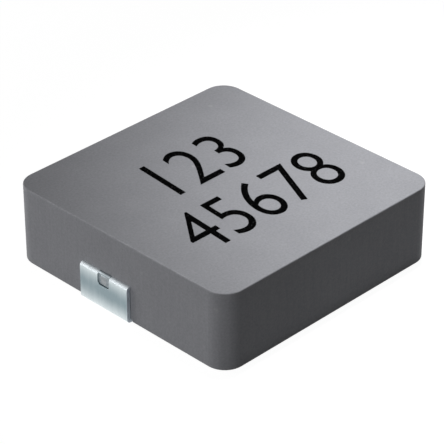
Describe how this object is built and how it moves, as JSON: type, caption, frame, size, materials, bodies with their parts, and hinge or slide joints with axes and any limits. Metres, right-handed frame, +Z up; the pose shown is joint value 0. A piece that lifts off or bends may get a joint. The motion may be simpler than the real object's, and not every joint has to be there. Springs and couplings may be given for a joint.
{
  "type": "shielded smd power inductor",
  "caption": "Square moulded power inductor with a coil of flat wire sealed inside and folded solder terminals on opposite sides.",
  "frame": {"origin": "middle of the footprint, on the plane that the solder feet stand on", "axes": "+Z up out of the board, +X from the left terminal to the right terminal, +Y along the width towards the side that the terminals are nearer to"},
  "size_m": [0.013, 0.0126, 0.0037],
  "materials": {
    "powder_body": "matte pressed iron powder, sealed grey",
    "enamelled_wire": "enamelled copper, satin",
    "tinned_strip": "satin tin plating on copper",
    "solder": "dull solder"
  },
  "bodies": {
    "root": {"body": "powder_body", "winding": "enamelled_wire", "terminal_left": "tinned_strip", "terminal_right": "tinned_strip", "solder_left": "solder", "solder_right": "solder"}
  },
  "joints": []
}
